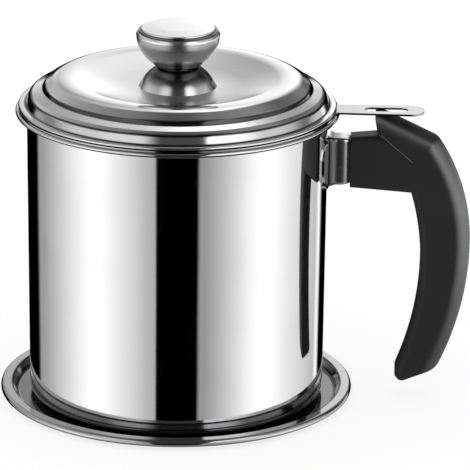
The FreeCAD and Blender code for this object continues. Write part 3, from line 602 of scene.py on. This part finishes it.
def make_ferrule(steel):
    """Flat tube between pot and grip: its foot flares on to the pot, its far edge is rolled in."""
    x, half, tall = FERRULE_RINGS[0]
    points = [Vector((x, y * half, FERRULE_MIDDLE + z * tall))
              for y, z in ((0, -1), (1, -1), (1, 1), (-1, 1), (-1, -1))]
    tube = draw_line(points, [0] + [FERRULE_CORNER] * 4)
    pick(tube, "VERT", lies_at(points[0] * MM, points[-1] * MM))
    bpy.ops.mesh.edge_face_add()
    pick(tube, "VERT", lies_at(points[-1] * MM))
    bpy.ops.mesh.bevel(affect="VERTICES", offset=FERRULE_CORNER * MM, segments=10, profile=0.5)
    bpy.ops.mesh.select_all(action="SELECT")
    for before, after in zip(FERRULE_RINGS, FERRULE_RINGS[1:]):
        onward = ((after[0] - before[0]) * MM, 0, 0)
        bpy.ops.mesh.extrude_edges_move(TRANSFORM_OT_translate={"value": onward})
        bpy.ops.transform.resize(value=(1, after[1] / before[1], after[2] / before[2]),
                                 center_override=(after[0] * MM, 0, FERRULE_MIDDLE * MM))
    bpy.ops.mesh.select_all(action="SELECT")
    bpy.ops.mesh.remove_doubles(threshold=TOUCHING)
    bpy.ops.mesh.normals_make_consistent(inside=False)
    bpy.ops.object.mode_set(mode="OBJECT")
    outer = max(tube.data.polygons, key=lambda face: face.center.z)
    finish_with(tube, "SOLIDIFY", thickness=FERRULE_SHEET * MM, offset=-math.copysign(1, outer.normal.z))
    smooth(tube, 40)
    settle(tube, "ferrule_tube", "pot", "polished_steel", steel, "handle_ferrule")


# ---- grip --------------------------------------------------------------------------------------
def crease_bead(side):
    """Fine raised line along the crease between arm and hook, on one face of the grip."""
    ends = [Vector((x, side * (GRIP_THICKNESS / 2 - BEAD_RADIUS / 3), z)) for x, z in CREASE_ENDS]
    line = draw_line(ends, [0, 0])
    bead = thicken(line, BEAD_RADIUS, 3)
    smooth(bead, 50)
    return bead


def make_grip(phenolic):
    """The moulding's own solid, merged so that its rounded edges shade smoothly."""
    clear_selection()
    piece = bpy.data.objects.new("grip_moulding", frame["nodes"]["handle_grip"].data.copy())
    scene.collection.objects.link(piece)
    edit(piece)
    bpy.ops.mesh.select_all(action="SELECT")
    bpy.ops.mesh.remove_doubles(threshold=2e-6)
    bpy.ops.mesh.dissolve_limited(angle_limit=math.radians(0.2))
    bpy.ops.object.mode_set(mode="OBJECT")
    finish_with(piece, "BEVEL", width=GRIP_EDGE * MM, segments=2, limit_method="ANGLE",
                angle_limit=math.radians(17))
    smooth(piece, 30)
    join(piece, crease_bead(1), crease_bead(-1))
    settle(piece, "grip_moulding", "pot", "black_phenolic", phenolic, "handle_grip")


# ---- studio ------------------------------------------------------------------------------------
def camera_axes():
    """Unit vectors of the view: to the right, up and back towards the camera."""
    back = Vector((math.sin(CAMERA_AZIMUTH) * math.cos(CAMERA_ELEVATION),
                   -math.cos(CAMERA_AZIMUTH) * math.cos(CAMERA_ELEVATION),
                   math.sin(CAMERA_ELEVATION)))
    right = Vector((0, 0, 1)).cross(back).normalized()
    return right, back.cross(right), back


def make_camera():
    right, up, back = camera_axes()
    turn = Matrix((right, up, back)).transposed()
    yaw = math.atan((FRAME_PIXELS / 2 - AIM_PIXEL[0]) / FOCAL_PIXELS)
    pitch = math.atan((AIM_PIXEL[1] - FRAME_PIXELS / 2) / FOCAL_PIXELS)
    turn = turn @ Matrix.Rotation(-yaw, 3, "Y") @ Matrix.Rotation(pitch, 3, "X")
    turn = turn @ Matrix.Rotation(CAMERA_ROLL, 3, "Z")
    data = bpy.data.cameras.new("camera")
    data.sensor_width = SENSOR
    data.lens = FOCAL_PIXELS / FRAME_PIXELS * SENSOR
    data.clip_start = 0.05
    data.clip_end = 50
    camera = bpy.data.objects.new("camera", data)
    scene.collection.objects.link(camera)
    camera.matrix_world = Matrix.Translation(AIM + back * CAMERA_DISTANCE) @ turn.to_4x4()
    scene.camera = camera


# Levels of the light that steel reflects, as (degrees, level). RING goes round the horizon from behind
# over the left, the front and the right; ARCH goes up from behind and over to the front; SIDES and
# SIDES_LOW are left and right, by height and by angle from the front.
RING = (
    (-148, 0), (-138, 0), (-136, 0.03), (-132, 0.45), (-124, 0.50), (-112, 0.69), (-101, 0.90),
    (-93, 1.07), (-81, 1.32), (-72, 1.5), (-60, 1.5), (-48, 1.25), (-38, 1.05), (-33, 0.94),
    (-24, 0.73), (-16.4, 0.61), (-15.6, 0), (16.0, 0), (16.8, 0.28), (18.5, 0.48), (21, 0.45),
    (28, 0.59), (38, 0.81), (48, 1.07), (56, 1.30), (66, 1.5), (80, 1.5), (95, 1.22), (113, 0.99),
    (135, 0.71), (142.5, 1.41), (148, 0),
)
ARCH = (
    (0, 1.5), (8, 1.5), (11, 1.37), (14, 1.25), (19, 1.07), (21, 0.97), (27, 0.85), (40, 1.1),
    (47, 1.5), (58, 1.4), (63, 0.25), (66, 0.14), (78, 0.12), (84, 0.06), (92, 0.10), (106, 0.10),
    (118, 0.04), (140, 0.045), (158, 0.09), (172, 0.065), (180, 0.05),
)
SIDES = ((0, 1.0), (22, 0.75), (35, 0.50), (47, 0.38), (60, 0.30), (72, 0.22), (90, 0.10))
SIDES_LOW = (
    (0, 1.4), (60, 1.2), (85, 0.8), (108, 0.30), (140, 0.12), (160, 0.10), (170, 1.2), (180, 1.5),
)
TO_DEGREES = 180 / math.pi
FLOOR_SIZE = 12.0                   # metres
FLOOR_DROP = 0.1                    # mm under the tray, so that the two faces don't share a plane
FLOOR_GLOW = 1.03
GLOW_SHARE = 0.78                   # the rest of the floor's colour takes light and shadow


def make_studio():
    """White room for the camera. What steel reflects: softboxes at both sides, a white wall behind with a
    dark ceiling over it, and a dark gap in front where the camera stands."""
    world = bpy.data.worlds.new("studio")
    scene.world = world
    world.cycles.sampling_method = "NONE"
    g = Graph(world)
    way = g.wire("ShaderNodeTexCoord", 0)
    side = (math.cos(CAMERA_AZIMUTH), math.sin(CAMERA_AZIMUTH), 0)
    front = (math.sin(CAMERA_AZIMUTH), -math.cos(CAMERA_AZIMUTH), 0)
    across = g.wire("ShaderNodeVectorMath", 1, {"operation": "DOT_PRODUCT"}, i0=way, i1=side)
    forth = g.wire("ShaderNodeVectorMath", 1, {"operation": "DOT_PRODUCT"}, i0=way, i1=front)
    up = Wire(g, g.node("ShaderNodeSeparateXYZ", Vector=way).outputs[2])
    azimuth = g.maths("ARCTAN2", across, forth) * TO_DEGREES
    aside = g.maths("ABSOLUTE", azimuth)
    over = g.maths("ARCTAN2", up, -forth) * TO_DEGREES
    height = g.maths("ARCSINE", up) * TO_DEGREES
    ring = g.ramp(azimuth / 360.0 + 0.5, [(at / 360 + 0.5, level) for at, level in RING])
    arch = g.ramp(over / 180.0, [(at / 180, level) for at, level in ARCH])
    sides = g.ramp(height / 90.0, [(at / 90, level) for at, level in SIDES])
    sides_low = g.ramp(aside / 180.0, [(at / 180, level) for at, level in SIDES_LOW])
    # left and right: a low band, then by height, with the right side darker towards the back
    climb = g.between(height, 6.0, 22.0)
    rightward = g.between(across, 0.05, 0.30)
    not_high = 1.0 - g.between(height, 40.0, 58.0)
    sides = sides * climb + sides_low * (1.0 - climb)
    sides = sides * (1.0 - 0.65 * rightward * g.between(aside, 95.0, 125.0) * not_high)
    # overhead: the wall behind is brighter on the right
    backward = g.between(-forth, 0.3, 0.7)
    arch = arch * (0.55 + 0.75 * g.between(across, -0.12, 0.10) * backward + 0.42 * (1.0 - backward))
    # in front: two softboxes with a dark gap between them
    gap = g.between(across, -0.46, -0.20) * (1.0 - g.between(across, 0.32, 0.37))
    boxes = (0.95 + 0.55 * g.between(across, -0.1, 0.2)) * (1.0 - g.between(height, 45.0, 58.0)) + 0.05
    ahead = arch * gap + boxes * (1.0 - gap)
    # above the horizon these three follow each other round the object; below it lies the ring
    beside = g.between(aside, 48.0, 72.0)
    behind = g.between(aside - 14.0 * (1.0 - climb) - 12.0 * rightward, 143.0, 168.0)
    upper = ahead * (1.0 - beside) + sides * (beside - behind) + arch * behind
    low = g.between(-height, 28.0, 55.0)
    under = ring * (1.0 - low) + 0.40 * low
    level = g.between(up, 0.02, 0.12)
    reflected = under * (1.0 - level) + upper * level
    path = g.node("ShaderNodeLightPath")
    is_camera, is_glossy = Wire(g, path.outputs[0]), Wire(g, path.outputs[3])
    strength = is_camera + (1.0 - is_camera) * (is_glossy * reflected + (1.0 - is_glossy))
    background = g.node("ShaderNodeBackground", Color=(1, 1, 1, 1), Strength=strength)
    g.node("ShaderNodeOutputWorld", Surface=background.outputs[0])


def make_floor():
    """Pale floor that shows white and keeps a faint contact shadow."""
    clear_selection()
    bpy.ops.mesh.primitive_plane_add(size=FLOOR_SIZE, location=(0, 0, -FLOOR_DROP * MM))
    floor = bpy.context.object
    floor.name = "floor"
    material = bpy.data.materials.new("floor")
    g = Graph(material)
    path = g.node("ShaderNodeLightPath")
    paint = g.node("ShaderNodeBsdfDiffuse", Color=(0.95, 0.95, 0.95, 1))
    glow = g.node("ShaderNodeEmission", Color=(1, 1, 1, 1), Strength=FLOOR_GLOW)
    amount = Wire(g, path.outputs[0]) * GLOW_SHARE
    shader = g.node("ShaderNodeMixShader", Fac=amount, i1=paint.outputs[0], i2=glow.outputs[0])
    g.node("ShaderNodeOutputMaterial", Surface=shader.outputs[0])
    floor.data.materials.append(material)
    floor.visible_glossy = False


# ---- assembly ----------------------------------------------------------------------------------
make_camera()
make_studio()
make_floor()

# painted shade: each band below darkens the steel's colour where shade falls, in gaps between parts, under
# rims and in hollows
pot_steel = polished_steel("pot_steel", painted_shade_bands=(("z", 118.0, 0.45), ("z", 117.3, 0.5), ("z", 1.2, 3.0)))
lid_steel = polished_steel("lid_steel", roughness=0.10, satin_within=47,
                           painted_shade_bands=(("r", 53.4, 0.7), ("r", 59.0, 0.4), ("r", 60.75, 0.6),
                                    ("z", 120.2, 0.6)))
# painted shade: the bell darkens towards its top, in the shade of the cup
bell_steel = polished_steel("bell_steel", roughness=0.16, painted_shade_bands=(("z", 136.6, 7.2),))
knob_steel = polished_steel("knob_steel", tone=0.78, roughness=0.22,
                            painted_shade_bands=(("z", 136.6, 1.7), ("z", 151.3, 0.35), ("z", 150.9, 0.3)))
tray_steel = polished_steel("tray_steel", tone=0.46, roughness=0.06,
                            painted_shade_bands=(("r", 64.3, 1.1), ("r", 66.5, 0.6), ("z", 1.3, 0.9)))
strainer_steel = polished_steel("strainer_steel", tone=0.42, roughness=0.10,
                                painted_shade_bands=(("z", 119.3, 0.4), ("r", 59.6, 0.6)))
satin = satin_steel("satin_steel")
# painted shade: the ferrule darkens towards the pot
ferrule_steel = satin_steel("ferrule_steel", tone=0.72, roughness=0.27, painted_dark_span=(62.0, 68.5))
wire_steel = satin_steel("steel_wire", tone=0.6, roughness=0.25)
phenolic = black_phenolic("black_phenolic")
make_tray(tray_steel)
make_pot(pot_steel)
make_lid(lid_steel)
make_skirt(bell_steel)
make_bowl(knob_steel)
make_cap(knob_steel)
make_strainer_frame(strainer_steel)
make_clamp_ring(satin)
make_basket(wire_steel)
make_ferrule(ferrule_steel)
make_grip(phenolic)

FINISHES = {
    "polished_steel": polished_steel("polished_steel"),
    "satin_steel": satin,
    "steel_mesh": satin,
    "screw_steel": satin,
    "black_phenolic": phenolic,
}
for subpart in frame["record"]["subparts"]:
    node = frame["nodes"][subpart["node"]]
    node.data.materials.clear()
    node.data.materials.append(FINISHES[subpart["material_slot"]])

scene.view_settings.view_transform = "Standard"
